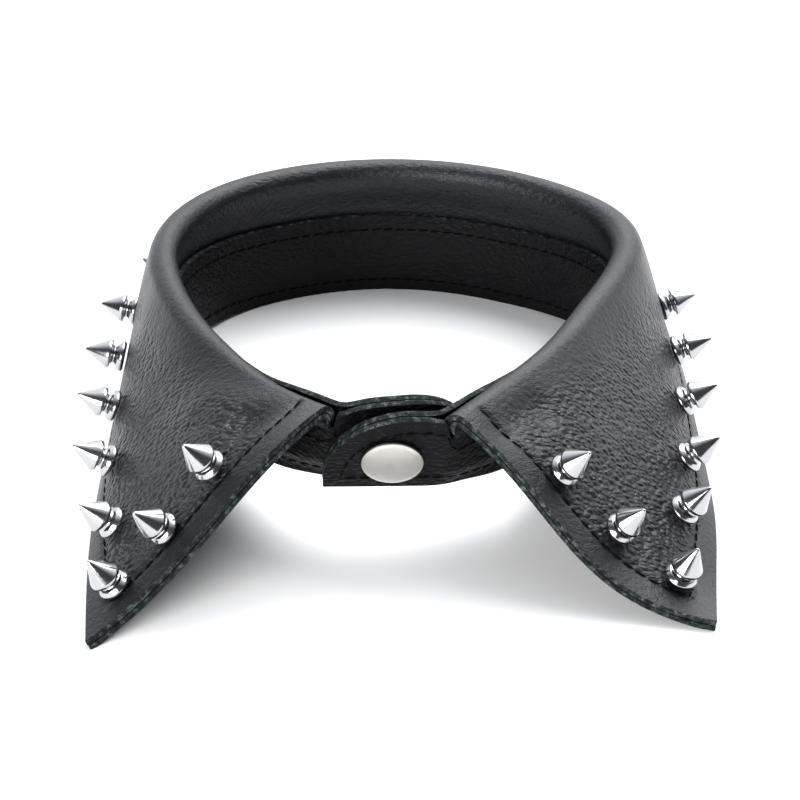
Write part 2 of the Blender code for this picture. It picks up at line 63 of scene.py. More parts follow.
# Leaf
SEAM_OVERLAP = 11.0
SEAM_CLEARANCE = 0.3
SEAM_HIGHEST = 34.6
UNDER_PLY_STARTS_ABOVE = 0.6
SLOPE_REACH = 1.3
BOW_SCALE = 27 / 4
LEAF_SECTIONS = 421
LEAF_FREE_ROWS = 6
LEAF_FOLD_ROWS = 15
LEAF_FALL_ROWS = 58
UNDER_SECTIONS = 261
UNDER_FALL_ROWS = 34
SECTIONS_PULL = 0.55
FALL_PULL = 0.45

# Band
BAND_HEIGHT = 24.5
BAND_END_ROUND = 22.0
BAND_CLOSES_OVER = 6.0
BAND_PARTS_OVER = 7.0
BAND_SEAM_MARGIN = 0.8
OUTER_PLY_STEPS_AT = 1.4
OUTER_PLY_STEP = 0.8
BAND_PLACES = 421
BAND_SAMPLES = 1500
BAND_FIRST_PLACE = 0.3
BAND_FINE_BESIDE = 3.5
BAND_ROWS = 15

# Raw edges
EDGE_RINGS = 4
EDGE_SWELL = 0.12
EDGE_FRAY = 0.10
FRAY_WAVES = ((4.1, 2.3), (1.7, 4.9))
CUT_EDGE_SHARP = 50

# Stitching
LEAF_STITCH_INSET = 6.0
TAB_STITCH_INSET = 4.4
FOOT_STITCH_INSET = 3.4
STITCH_PITCH = 3.5
STITCH_LENGTH = 3.45
STITCH_RADIUS = 0.29
STITCH_SLANT = 0.16
STITCH_LIFT = 0.05
BEAD_RINGS_AT = (-0.86, -0.5, 0.0, 0.5, 0.86)
BEAD_SIDES = 6
BEAD_SINK = 1.2
BEAD_TIP_SINK = 1.4
END_SEAM_POINTS = 60
TOP_SEAM_POINTS = 500
FOOT_SEAM_POINTS = 560
GROOVE_DEPTH = 0.34
GROOVE_WIDTH = 0.75

# Grain
GRAIN_STARTS_AT = 3.6
GRAIN_GROWS_OVER = 9.0
ROLL_SMOOTH_FOR = 3.0
ROLL_GRAIN_GROWS_OVER = 16.0
GRAIN_STRETCH = (0.60, 1.0, 1.0)
GRAIN_DRIFT = 0.0020
LEAST_GRAIN = 0.12

# Snap and spikes
CAP_DIAMETER = 15.0
CAP_HEIGHT = 1.9
CAP_DOME_FROM = 0.95
CAP_UP_THE_BAND = 10.2
CAP_FROM_TAB_END = 17.0
STAND_OFF = 0.3
FLANGE_DIAMETER = 8.2
FLANGE_HEIGHT = 2.2
NECK_DIAMETER = 4.6
CONE_DIAMETER = 7.8
CONE_RIM_BOTTOM = 3.7
CONE_RIM_TOP = 4.6
SPIKE_HEIGHT = 10.7
SPIKE_TIP_RADIUS = 0.7
SPIKE_SIDES = 44
CORNER_REACH = 0.22
CORNER_POINTS = 4
CAP_SIDES = 96
TURNED_SHARP = 40
OUTER_INSET = 11.3
OUTER_ROW_FROM_LEFT_FRONT = 26.7
OUTER_ROW_FROM_RIGHT_FRONT = 29.0
LAST_SPIKE_SET_BACK = 3.7
OUTER_SPIKES = 17
FINE_SECTIONS = 1201
FINE_ROWS = 80
FRONT_SECTIONS = 90
SPIKE_STAND_OFF = 0.5

# Camera and light
CAMERA_PLACE = (0.0, -401.9, 289.8)
CAMERA_DOWN = 31.5
CAMERA_LENS = 90.72
SENSOR = 36.0
BRIGHT_WAY = (0.20, 0.78, 0.50)
ROOM_DARK = 0.10
ROOM_BRIGHT = 1.95
ROOM_DARK_UP_TO = 0.02
ROOM_BRIGHT_FROM = 0.92
ROOM_COLOUR = (0.935, 0.96, 1.0, 1.0)
TABLE_REACH = 2500.0

Softbox = namedtuple("Softbox", "name place aim width height power")
SOFTBOXES = (
    Softbox("overhead_softbox", (0.24, 0.40, 0.80), (0.0, 0.0, 0.0), 0.9, 0.7, 13.0),
    Softbox("low_fill", (-0.45, -0.75, 0.32), (0.0, -0.05, 0.0), 0.7, 0.45, 11.5),
)

LeafSection = namedtuple(
    "LeafSection",
    "fold_x fold_y fold_top radius edge_x edge_y edge_z leave arrive bow_near bow_far",
)
LEAF_SECTION_TABLE = (
    LeafSection(-18.2, 0.1, 41.5, 3.5, -71.8, -38.6, 2.6, 0, 18, 5.2, -0.2),
    LeafSection(-31.3, 10.2, 41.8, 3.6, -74.4, -16.0, 3.0, 16, 38, 3.4, 0.2),
    LeafSection(-42.0, 24.3, 42.0, 3.8, -76.0, 5.0, 3.2, 36, 58, 1.4, 0.0),
    LeafSection(-52.4, 42.4, 42.0, 4.1, -76.4, 30.0, 4.0, 58, 72, 0.0, 0.0),
    LeafSection(-60.6, 64.0, 42.0, 4.2, -76.2, 59.0, 4.8, 68, 78, 0.0, 0.0),
    LeafSection(-64.0, 85.0, 42.0, 4.0, -75.5, 86.0, 5.0, 72, 77, 0.0, 0.0),
    LeafSection(-61.2, 102.0, 42.0, 3.9, -72.0, 107.5, 4.6, 72, 75, 0.0, 0.0),
    LeafSection(-51.2, 118.2, 42.0, 3.9, -60.0, 129.0, 3.6, 72, 72, 0.0, 0.0),
    LeafSection(-29.0, 132.0, 42.0, 4.0, -34.0, 146.5, 2.4, 72, 68, 0.0, 0.0),
    LeafSection(0.0, 136.5, 42.0, 4.1, 0.0, 152.5, 2.0, 72, 66, 0.0, 0.0),
    LeafSection(27.0, 130.5, 42.0, 4.2, 33.0, 145.5, 2.4, 72, 67, 0.0, 0.0),
    LeafSection(47.0, 118.0, 42.0, 4.4, 57.5, 129.0, 3.6, 72, 68, 0.0, 0.0),
    LeafSection(58.2, 104.5, 42.0, 4.6, 71.0, 110.5, 4.6, 70, 68, 0.0, 0.0),
    LeafSection(61.8, 88.0, 42.0, 4.6, 77.5, 90.0, 5.0, 68, 66, 0.0, 0.0),
    LeafSection(58.0, 71.5, 42.0, 4.4, 78.6, 66.0, 5.0, 62, 64, 0.0, 0.0),
    LeafSection(48.4, 49.8, 42.0, 4.1, 78.7, 36.0, 4.2, 52, 56, 0.0, 0.0),
    LeafSection(38.0, 28.9, 42.0, 3.8, 78.2, 9.0, 3.4, 42, 42, -0.1, -0.5),
    LeafSection(26.4, 12.8, 41.8, 3.6, 75.8, -11.5, 3.0, 34, 26, -0.4, -1.6),
    LeafSection(13.4, -3.4, 41.5, 3.5, 73.2, -31.5, 3.0, 30, 4, -0.6, -3.4),
)

BandSection = namedtuple("BandSection", "foot_x foot_y bottom top_x top_y")
BAND_SECTION_TABLE = (
    BandSection(20.5, 19.4, 15.8, 18.6, 15.4),
    BandSection(14.0, 14.2, 16.9, 13.0, 9.2),
    BandSection(7.0, 11.2, 17.5, 6.8, 5.2),
    BandSection(-1.6, 9.9, 17.8, -1.3, 3.2),
    BandSection(-9.5, 9.4, 17.7, -8.6, 2.1),
    BandSection(-15.4, 10.0, 16.9, -13.8, 2.4),
    BandSection(-20.4, 12.0, 16.2, -19.0, 6.0),
    BandSection(-26.2, 15.2, 15.4, -25.6, 11.2),
    BandSection(-33.5, 22.0, 14.0, -33.3, 18.8),
    BandSection(-43.8, 36.0, 12.0, -44.4, 35.7),
    BandSection(-53.4, 52.4, 9.6, -53.4, 52.4),
    BandSection(-59.6, 71.0, 7.0, -59.6, 71.0),
    BandSection(-61.9, 87.5, 4.4, -61.9, 87.5),
    BandSection(-59.3, 103.7, 2.4, -59.3, 103.7),
    BandSection(-48.6, 120.1, 0.8, -48.6, 120.1),
    BandSection(-28.6, 132.2, -0.2, -28.6, 132.2),
    BandSection(0.0, 136.8, -0.4, 0.0, 136.8),
    BandSection(25.2, 130.9, -0.2, 25.2, 130.9),
    BandSection(44.4, 119.2, 1.0, 44.4, 119.2),
    BandSection(55.5, 105.1, 2.8, 55.5, 105.1),
    BandSection(59.1, 88.6, 4.8, 59.1, 88.6),
    BandSection(55.0, 70.4, 7.2, 55.0, 70.4),
    BandSection(45.9, 50.3, 9.8, 45.9, 50.6),
    BandSection(36.5, 32.5, 12.2, 35.5, 31.8),
    BandSection(26.9, 17.8, 14.6, 24.7, 16.2),
    BandSection(20.8, 11.6, 16.0, 17.8, 7.6),
    BandSection(14.6, 7.6, 17.2, 11.6, 0.0),
    BandSection(9.5, 5.2, 17.7, 7.9, -2.8),
    BandSection(4.6, 4.3, 18.0, 3.6, -3.5),
    BandSection(-1.6, 4.0, 18.1, -1.8, -3.8),
    BandSection(-10.0, 4.0, 18.0, -10.2, -3.7),
    BandSection(-18.8, 4.2, 17.8, -19.0, -3.4),
)
BAND_ROW_AT_LEFT_OF_LEAF = 5
BAND_ROW_AT_RIGHT_OF_LEAF = 27

FrontSeat = namedtuple("FrontSeat", "from_point inset")
LEFT_FRONT_SEATS = (FrontSeat(15.5, 8.2), FrontSeat(31.4, 9.0), FrontSeat(49.1, 11.0))
RIGHT_FRONT_SEATS = (FrontSeat(14.7, 10.3), FrontSeat(31.4, 12.4), FrontSeat(49.6, 10.9))

Crease = namedtuple("Crease", "from_x from_y to_x to_y depth width")
CREASES = (
    Crease(-23.0, 3.5, -36.0, -0.5, 1.8, 4.0),
    Crease(-36.0, 7.0, -47.0, 12.0, -0.6, 6.0),
    Crease(22.0, -1.0, 31.5, 9.0, 2.3, 4.6),
    Crease(36.0, -3.0, 46.0, 8.0, -0.8, 6.0),
    Crease(56.0, 2.0, 62.0, 22.0, 0.5, 7.0),
    Crease(-58.0, -4.0, -64.0, 16.0, 0.5, 7.0),
)
CREASE_FADE_ROWS = 6.0

Hide = namedtuple("Hide", "name pebble relief colour roughness gloss patchy")
GRAIN_HIDE = Hide("black_grain_leather", 1.2, 0.0007, (0.0040, 0.0046, 0.0068), 0.38, 0.35, True)
# The band's outer ply is smoother leather with less grain; its base colour is darker than the grain leather's
# as painted shade for the front tab and band ends.
SHADED_SMOOTH_HIDE = Hide("black_smooth_leather_painted_shade", 1.1, 0.0002, (0.0032, 0.0033, 0.0042), 0.42, 0.09, False)
# The lining's base colour is darker than the grain leather's: painted shade for the neck side of the band and
# the leaf's under ply.
SHADED_LINING_HIDE = Hide("black_leather_painted_shade", 1.1, 0.0002, (0.0022, 0.0022, 0.0032), 0.46, 0.13, False)


# Numbers and curves

def distance_along(points):
    """The running length of a line of points: the sum of the steps so far."""
    steps = np.linalg.norm(np.diff(points, axis=0), axis=1)
    return np.concatenate([[0.0], np.cumsum(steps)])


def smooth_columns(table, knots, places):
    """Each column of the table as a natural cubic spline over the knots, read at the places."""
    gaps = np.diff(knots)
    system = np.eye(len(knots))
    wanted = np.zeros_like(table)
    for row in range(1, len(knots) - 1):
        before = gaps[row - 1]
        after = gaps[row]
        system[row, row - 1:row + 2] = before, 2 * (before + after), after
        rise_after = (table[row + 1] - table[row]) / after
        rise_before = (table[row] - table[row - 1]) / before
        wanted[row] = 6 * (rise_after - rise_before)
    bends = np.linalg.solve(system, wanted)
    cell = np.clip(np.searchsorted(knots, places, side="right") - 1, 0, len(knots) - 2)
    width = gaps[cell][:, None]
    left = (places - knots[cell])[:, None]
    right = width - left
    curved = (bends[cell] * right ** 3 + bends[cell + 1] * left ** 3) / (6 * width)
    from_left = (table[cell] / width - bends[cell] * width / 6) * right
    from_right = (table[cell + 1] / width - bends[cell + 1] * width / 6) * left
    return curved + from_left + from_right


def soft_step(value):
    """0 below 0, 1 above 1 and 3v^2 - 2v^3 between."""
    inside = np.clip(value, 0.0, 1.0)
    return inside * inside * (3 - 2 * inside)


def unit(vectors):
    return vectors / np.linalg.norm(vectors, axis=-1, keepdims=True)


def grid_normals(grid):
    """Unit normals of a grid of points: the cross product of its slopes along both directions."""
    along = np.gradient(grid, axis=0)
    across = np.gradient(grid, axis=1)
    return unit(np.cross(along, across))


def crowded_ends(count, pull):
    """Even steps t pulled towards 0 and 1: t - pull sin(2 pi t) / 2 pi."""
    even = np.linspace(0.0, 1.0, count)
    return even - pull * np.sin(2 * np.pi * even) / (2 * np.pi)


def crowded_last(count, pull):
    """Even steps t pulled towards 1: t + pull sin(pi t) / pi."""
    even = np.linspace(0.0, 1.0, count)
    return even + pull * np.sin(np.pi * even) / np.pi


def distance_to_line(points, line):
    """Shortest distance from each point to a line of points, measured to its segments."""
    start = line[:-1]
    run = line[1:] - start
    length = np.maximum((run ** 2).sum(axis=1), 1e-9)
    flat = points.reshape(-1, 3)
    best = np.full(len(flat), np.inf)
    for first in range(0, len(flat), POINTS_AT_A_TIME):
        part = flat[first:first + POINTS_AT_A_TIME]
        ahead = ((part[:, None] - start[None]) * run[None]).sum(axis=2) / length
        foot = start[None] + np.clip(ahead, 0.0, 1.0)[:, :, None] * run[None]
        best[first:first + POINTS_AT_A_TIME] = np.linalg.norm(part[:, None] - foot, axis=2).min(axis=1)
    return best.reshape(points.shape[:-1])


def on_frame(points):
    """Millimetres in the drawing frame to metres in the shared frame: (point + shift) / 1000."""
    return (points + SHIFT) * MM


# Band

class Band:
    """The seam face between the band's two plies, as a function of the way along it and up it."""

    def __init__(self):
        self.table = np.array(BAND_SECTION_TABLE, float)
        self.knots = distance_along(self.table[:, :2])
        self.length = self.knots[-1]
        self.leaf_from = self.knots[BAND_ROW_AT_LEFT_OF_LEAF]
        self.leaf_to = self.knots[BAND_ROW_AT_RIGHT_OF_LEAF]

    def directions(self, places):
        """Foot point, the way up the band and the way out of it, at each place."""
        columns = smooth_columns(self.table, self.knots, places)
        ahead = smooth_columns(self.table, self.knots, places + 0.01)
        foot = np.column_stack([columns[:, :2], np.maximum(columns[:, 2], 0.0)])
        shift = columns[:, 3:5] - columns[:, :2]
        rise = np.sqrt(BAND_HEIGHT ** 2 - (shift ** 2).sum(axis=1))
        up = np.column_stack([shift, rise]) / BAND_HEIGHT
        halfway = 0.5 * (ahead[:, :2] + ahead[:, 3:5] - columns[:, :2] - columns[:, 3:5])
        forward = np.column_stack([halfway, np.zeros(len(places))])
        outward = unit(np.cross(up, forward))
        return foot, up, outward

    def face(self, places, heights, offsets):
        """Points foot + height x up + offset x outward; arrays of places x rows."""
        foot, up, outward = self.directions(places)
        return foot[:, None] + heights[:, :, None] * up[:, None] + offsets[:, :, None] * outward[:, None]

    def full_height(self, places):
        """The band's height: constant, and falling along a quarter ellipse at both rounded ends."""
        to_end = np.minimum(places, self.length - places)
        left = np.clip(1 - to_end / BAND_END_ROUND, 0.0, 1.0)
        return BAND_HEIGHT * np.sqrt(1 - left * left)

    def seam_top(self, places):
        """How far up the band the leaf comes out from between the plies."""
        foot, up, _ = self.directions(places)
        return np.minimum(BAND_HEIGHT, (SEAM_HIGHEST - foot[:, 2]) / up[:, 2])

    def outer_height(self, places, leaf):
        """Height of the outer ply: the band's beyond the leaf, and the seam's top below it."""
        outside = np.maximum(leaf.band_ends[0] - places, places - leaf.band_ends[1])
        under_leaf = 1 - soft_step((outside - OUTER_PLY_STEPS_AT) / OUTER_PLY_STEP)
        height = self.full_height(places)
        return height * (1 - under_leaf) + np.minimum(height, self.seam_top(places)) * under_leaf

    def parting(self, places, heights, leaf):
        """How far the outer ply stands off: by the leaf's ply in the seam, and not at all below it."""
        outside = np.maximum(leaf.band_ends[0] - places, places - leaf.band_ends[1])
        beside_leaf = 1 - soft_step(outside / BAND_PARTS_OVER)
        bottom = self.seam_top(places) - SEAM_OVERLAP - BAND_SEAM_MARGIN
        closing = np.clip((heights - bottom[:, None]) / BAND_CLOSES_OVER + 1, 0.0, 1.0)
        return (PLY + SEAM_CLEARANCE) * soft_step(closing) * beside_leaf[:, None]


def leaf_on_band(band, fold_line):
    """For each point of the fold, the place along the band that lies nearest to it.

    It is the nearest sample, corrected by the point's projection on the line of its neighbours.
    """
    samples = np.linspace(band.leaf_from, band.leaf_to, BAND_SAMPLES)
    top = band.face(samples, np.full((len(samples), 1), BAND_HEIGHT), np.zeros((len(samples), 1)))[:, 0, :2]
    points = fold_line[:, :2]
    nearest = np.argmin(np.linalg.norm(points[:, None] - top[None], axis=2), axis=1)
    before = np.maximum(nearest - 1, 0)
    after = np.minimum(nearest + 1, len(samples) - 1)
    run = top[after] - top[before]
    ahead = ((points - top[nearest]) * run).sum(axis=1) / (run ** 2).sum(axis=1)
    places = samples[nearest] + ahead * (samples[after] - samples[before])
    return np.clip(places, band.leaf_from, band.leaf_to)


# Leaf

class Leaf:
    """The leaf's good side, from its sewn inner edge up over the fold and down to its free outer edge."""

    def __init__(self, band):
        self.band = band
        self.table = np.array(LEAF_SECTION_TABLE, float)
        self.knots = distance_along(self.table[:, :2])
        self.band_ends = leaf_on_band(band, self.table[[0, -1], :2])

    def good_side(self, sections, rises, turns, steps):
        """Points of the good side, sections x rows, and the first row of the fall.

        Each section runs up the seam face, eases over to the fold, turns round it on a circle and falls along
        a cubic Hermite curve whose ends leave and arrive at given slopes. The fall is bowed sideways by
        27/4 s (1 - s) (near (1 - s) + far s).
        """
        columns = smooth_columns(self.table, self.knots, sections * self.knots[-1])
        fold = columns[:, 0:3]
        radius = columns[:, 3:4]
        edge = columns[:, 4:7]
        start = np.radians(columns[:, 7])
        end = np.radians(columns[:, 8])
        bow_near = columns[:, 9, None, None]
        bow_far = columns[:, 10, None, None]
        heading = unit(edge[:, :2] - fold[:, :2])
        heading = np.column_stack([heading, np.zeros(len(heading))])
        sideways = np.column_stack([-heading[:, 1], heading[:, 0], np.zeros(len(heading))])
        axis = fold - radius * [0.0, 0.0, 1.0]

        places = leaf_on_band(self.band, fold)
        top = self.band.seam_top(places)
        sewn_heights = top[:, None] + np.array([-SEAM_OVERLAP, -SEAM_OVERLAP / 2, UNDER_PLY_STARTS_ABOVE])
        sewn = self.band.face(places, sewn_heights, np.full_like(sewn_heights, PLY_GAP / 2))

        turn_in = axis - heading * radius
        rise = rises[None, :, None]
        reach = (turn_in[:, 2] - sewn[:, 2, 2])[:, None, None] * np.array([0.0, 0.0, 1.0])
        ease = 3 * rise ** 2 - 2 * rise ** 3
        free = sewn[:, 2:3] * (1 - ease) + turn_in[:, None] * ease
        free = free + reach * (rise - ease)

        turn = turns[None, :] * (np.pi / 2 + start)[:, None]
        out = -np.cos(turn) * radius
        up = np.sin(turn) * radius
        folded = axis[:, None] + out[:, :, None] * heading[:, None]
        folded[:, :, 2] += up

        leave = folded[:, -1]
        s = steps[None, :, None]
        chord = SLOPE_REACH * np.linalg.norm(edge - leave, axis=1)[:, None]
        first = heading * np.cos(start)[:, None] * chord
        first[:, 2] = -np.sin(start) * chord[:, 0]
        last = heading * np.cos(end)[:, None] * chord
        last[:, 2] = -np.sin(end) * chord[:, 0]
        fall = (
            (2 * s ** 3 - 3 * s ** 2 + 1) * leave[:, None]
            + (s ** 3 - 2 * s ** 2 + s) * first[:, None]
            + (3 * s ** 2 - 2 * s ** 3) * edge[:, None]
            + (s ** 3 - s ** 2) * last[:, None]
        )
        bow = BOW_SCALE * s * (1 - s) * (bow_near * (1 - s) + bow_far * s)
        fall = fall + bow * sideways[:, None]
        rows = np.concatenate([sewn, free, folded, fall], axis=1)
        return rows, sewn.shape[1] + free.shape[1] + len(turns) - 1


def leaf_grid(leaf, section_count, free_rows, fold_rows, fall_rows):
    """The good side on a grid that is finer near the cut edges, with its first fall row."""
    sections = crowded_ends(section_count, SECTIONS_PULL)
    rises = np.linspace(0.0, 1.0, free_rows + 2)[1:-1]
    turns = np.linspace(0.0, 1.0, fold_rows)
    steps = crowded_last(fall_rows + 1, FALL_PULL)[1:]
    return leaf.good_side(sections, rises, turns, steps)


def free_edges(grid, first):
    """The three cut lines of the fall: left front edge, lower edge and right front edge."""
    return grid[0, first:], grid[:, -1], grid[-1, first:]


def sunk_form(grid, first, edges):
    """The good side with the stitch groove and the listed creases pressed in along its normals.

    Groove: depth x exp(-((distance to the nearest cut edge - inset) / width)^2). Crease, on the fall only:
    depth x exp(-(distance in plan to its line / width)^2); a negative depth makes a soft ridge.
    """
    normals = grid_normals(grid)
    inset = np.minimum.reduce([distance_to_line(grid, edge) for edge in edges])
    groove = GROOVE_DEPTH * np.exp(-((inset - LEAF_STITCH_INSET) / GROOVE_WIDTH) ** 2)
    groove[:, :first] = 0.0
    press = groove
    plan = grid * [1.0, 1.0, 0.0]
    on_fall = soft_step((np.arange(grid.shape[1]) - first) / CREASE_FADE_ROWS)[None, :]
    for crease in CREASES:
        line = np.array([[crease.from_x, crease.from_y, 0.0], [crease.to_x, crease.to_y, 0.0]])
        away = distance_to_line(plan, line)
        press = press + crease.depth * np.exp(-(away / crease.width) ** 2) * on_fall
    return grid - normals * press[:, :, None], inset


def grain_strength(grid, first, inset):
    """0 to 1: none in the strip outside the stitches and on the roll, rising smoothly inwards from both."""
    from_fold = np.linalg.norm(grid - grid[:, first:first + 1], axis=2)
    from_fold[:, :first] = 0.0
    inside = soft_step((inset - GRAIN_STARTS_AT) / GRAIN_GROWS_OVER)
    below_roll = soft_step((from_fold - ROLL_SMOOTH_FOR) / ROLL_GRAIN_GROWS_OVER)
    return inside * below_roll


# Meshes

def new_piece(name, points, faces, finishes, finish_of_face=None):
    """A smooth-shaded mesh object at the origin from points in metres and a list of faces."""
    mesh = bpy.data.meshes.new(name)
    mesh.from_pydata(points.tolist(), [], faces)
    mesh.validate()
    for finish in finishes:
        mesh.materials.append(finish)
    if finish_of_face is not None:
        mesh.polygons.foreach_set("material_index", np.asarray(finish_of_face, np.int32))
    mesh.polygons.foreach_set("use_smooth", np.full(len(mesh.polygons), True))
    made = bpy.data.objects.new(name, mesh)
    bpy.context.scene.collection.objects.link(made)
    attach(made, "root")
    return made


def note_on_points(made, name, values):
    """Stores one number for each point of a mesh, for its material to read."""
    kept = made.data.attributes.new(name, "FLOAT", "POINT")
    kept.data.foreach_set("value", np.asarray(values, np.float32))


def ply_piece(name, front, back, face_finish, edge_finish, grain=None):
    """A closed ply between two grids, with its cut edge rounded over and slightly frayed.

    Its cut edge has rings at t = 1/n, 2/n ...: front (1 - t) + back t + outward (swell sin(pi t) + fray).
    The fray is the mean of two sines of the running length along the edge.
    """
    rows, columns = front.shape[:2]
    count = rows * columns
    number = np.arange(count).reshape(rows, columns)
    quads = np.stack([number[:-1, :-1], number[1:, :-1], number[1:, 1:], number[:-1, 1:]], axis=2)
    quads = quads.reshape(-1, 4)
    border = np.concatenate([number[:-1, 0], number[-1, :-1], number[:0:-1, -1], number[0, :0:-1]])
    top = front.reshape(-1, 3)[border]
    low = back.reshape(-1, 3)[border]
    middle = (top + low) / 2
    along = unit(np.roll(middle, -1, axis=0) - np.roll(middle, 1, axis=0))
    through = unit(top - low)
    outward = unit(np.cross(along, through))
    run = distance_along(middle)
    rings = []
    for ring in range(1, EDGE_RINGS):
        t = ring / EDGE_RINGS
        swell = EDGE_SWELL * math.sin(math.pi * t)
        waves = [np.sin(run * per_mm + per_ring * ring) for per_mm, per_ring in FRAY_WAVES]
        fray = EDGE_FRAY * sum(waves) / len(waves)
        points = top * (1 - t) + low * t + outward * (swell + fray)[:, None]
        points[:, 2] = np.maximum(points[:, 2], 0.0)
        rings.append(points)
    edge_number = [border]
    for ring in range(EDGE_RINGS - 1):
        edge_number.append(2 * count + ring * len(border) + np.arange(len(border)))
    edge_number.append(border + count)
    walls = []
    for upper, lower in zip(edge_number[:-1], edge_number[1:]):
        walls.append(np.stack([np.roll(upper, -1), upper, lower, np.roll(lower, -1)], axis=1))
    walls = np.concatenate(walls)
    faces = np.concatenate([quads, quads[:, ::-1] + count, walls])
    points = np.concatenate([front.reshape(-1, 3), back.reshape(-1, 3), *rings])
    finish_of_face = np.zeros(len(faces), int)
    finish_of_face[2 * len(quads):] = 1
    made = new_piece(name, on_frame(points), faces.tolist(), (face_finish, edge_finish), finish_of_face)
    made.data.set_sharp_from_angle(angle=math.radians(CUT_EDGE_SHARP))
    if grain is not None:
        flat = grain.reshape(-1)
        note_on_points(made, "grain", np.concatenate([flat, flat, np.zeros(len(points) - 2 * count)]))
    return made


def under_side(grid, depth):
    """The grid moved in along its normals by a depth, kept above the floor."""
    moved = grid - grid_normals(grid) * depth
    moved[:, :, 2] = np.maximum(moved[:, :, 2], 0.0)
    return moved


def lathe(name, profile, sides, point, direction, finish):
    """A turned solid: each ring is point + radius (cos a side + sin a front) + height direction."""
    side = unit(np.cross([0.0, 0.0, 1.0], direction))
    front = np.cross(direction, side)
    angle = np.arange(sides) * 2 * np.pi / sides
    around = np.cos(angle)[:, None] * side + np.sin(angle)[:, None] * front
    profile = np.asarray(profile, float)
    rings = point + profile[1:-1, 0, None, None] * around[None] + profile[1:-1, 1, None, None] * direction
    ends = point + profile[[0, -1], 1, None] * direction
    points = np.concatenate([rings.reshape(-1, 3), ends])
    count = len(profile) - 2
    number = np.arange(count * sides).reshape(count, sides)
    after = np.roll(number, -1, axis=1)
    quads = np.stack([number[:-1], after[:-1], after[1:], number[1:]], axis=2).reshape(-1, 4)
    low = np.stack([np.full(sides, count * sides), after[0], number[0]], axis=1)
    high = np.stack([np.full(sides, count * sides + 1), number[-1], after[-1]], axis=1)
    faces = quads.tolist() + low.tolist() + high.tolist()
    made = new_piece(name, on_frame(points), faces, (finish,))
    made.data.set_sharp_from_angle(angle=math.radians(TURNED_SHARP))
    return made


def sewn_line(points, normals):
    """Evenly spaced stitches along a line: centres, directions along and away from the leather."""
    run = distance_along(points)
    count = max(2, int(run[-1] / STITCH_PITCH))
    middle = (np.arange(count) + 0.5) * run[-1] / count
    ends = middle[:, None] + np.array([-0.5, 0.5]) * STITCH_LENGTH
    ends = np.clip(ends, 0.0, run[-1])
    place = np.stack([np.interp(ends, run, points[:, axis]) for axis in range(3)], axis=2)
    up = unit(np.stack([np.interp(middle, run, normals[:, axis]) for axis in range(3)], axis=1))
    centre = place.mean(axis=1) + up * STITCH_LIFT
    span = place[:, 1] - place[:, 0]
    return centre, unit(span), up, np.linalg.norm(span, axis=1)


def stitches(name, lines, finish):
    """All stitches of a seam in one mesh.

    Each is a bead along x in -1..1: x length/2 along, radius sqrt(1 - x^4) round, sunk by sink radius
    x^4 at its ends and slanted sideways by x slant.
    """
    parts = [np.concatenate(column) for column in zip(*lines)]
    centre, along, up, length = parts
    side = np.cross(up, along)
    x = np.array(BEAD_RINGS_AT)
    angle = np.arange(BEAD_SIDES) * 2 * np.pi / BEAD_SIDES
    swell = STITCH_RADIUS * np.sqrt(1 - x ** 4)
    spine = (
        centre[:, None]
        + (x * 0.5)[None, :, None] * (length[:, None] * along)[:, None]
        + (x * STITCH_SLANT)[None, :, None] * side[:, None]
        - (STITCH_RADIUS * BEAD_SINK * x ** 4)[None, :, None] * up[:, None]
    )
    ring = (
        spine[:, :, None]
        + (swell[:, None] * np.cos(angle))[None, :, :, None] * side[:, None, None]
        + (swell[:, None] * np.sin(angle))[None, :, :, None] * up[:, None, None]
    )
    tips = (
        centre[:, None]
        + np.array([-0.5, 0.5])[None, :, None] * (length[:, None] * along)[:, None]
        - STITCH_RADIUS * BEAD_TIP_SINK * up[:, None]
    )
    each = np.concatenate([ring.reshape(len(centre), -1, 3), tips], axis=1)
    count = len(x) * BEAD_SIDES
    number = np.arange(count).reshape(len(x), BEAD_SIDES)
    after = np.roll(number, -1, axis=1)
    quads = np.stack([number[:-1], number[1:], after[1:], after[:-1]], axis=2).reshape(-1, 4)
    caps = np.concatenate([
        np.stack([np.full(BEAD_SIDES, count), number[0], after[0]], axis=1),
        np.stack([np.full(BEAD_SIDES, count + 1), after[-1], number[-1]], axis=1),
    ])
    start = np.arange(len(centre))[:, None, None] * (count + 2)
    faces = (quads[None] + start).reshape(-1, 4).tolist() + (caps[None] + start).reshape(-1, 3).tolist()
    return new_piece(name, on_frame(each.reshape(-1, 3)), faces, (finish,))


def crossing(values, wanted, line_points, line_normals):
    """Point and normal on each line of a grid where a value that falls along it passes the wanted one."""
    below = values < wanted
    first = np.argmax(below, axis=1)
    found = below.any(axis=1) & (first > 0)
    rows = np.arange(len(values))
    here = values[rows, first]
    before = values[rows, first - 1]
    part = ((before - wanted) / np.where(before == here, 1.0, before - here))[:, None]
    points = line_points[rows, first - 1] * (1 - part) + line_points[rows, first] * part
    normals = unit(line_normals[rows, first - 1] * (1 - part) + line_normals[rows, first] * part)
    return found, points, normals


def seam_part(values, limit, others, points, normals):
    """Where a value passes its limit along each line of a grid, if the other insets are larger there."""
    found, places, ups = crossing(values, limit, points, normals)
    at = np.argmax(values < limit, axis=1)
    for other in others:
        found &= other[np.arange(len(values)), at] > LEAF_STITCH_INSET
    return places[found], ups[found]


def front_seam(away, lower, fall, normals):
    """The seam beside one front edge of the leaf; the grid's first section is that edge."""
    half = len(fall) // 2
    rows = fall[:half].transpose(1, 0, 2)
    row_normals = normals[:half].transpose(1, 0, 2)
    return seam_part(-away[:half].T, -LEAF_STITCH_INSET, [lower[:half].T], rows, row_normals)


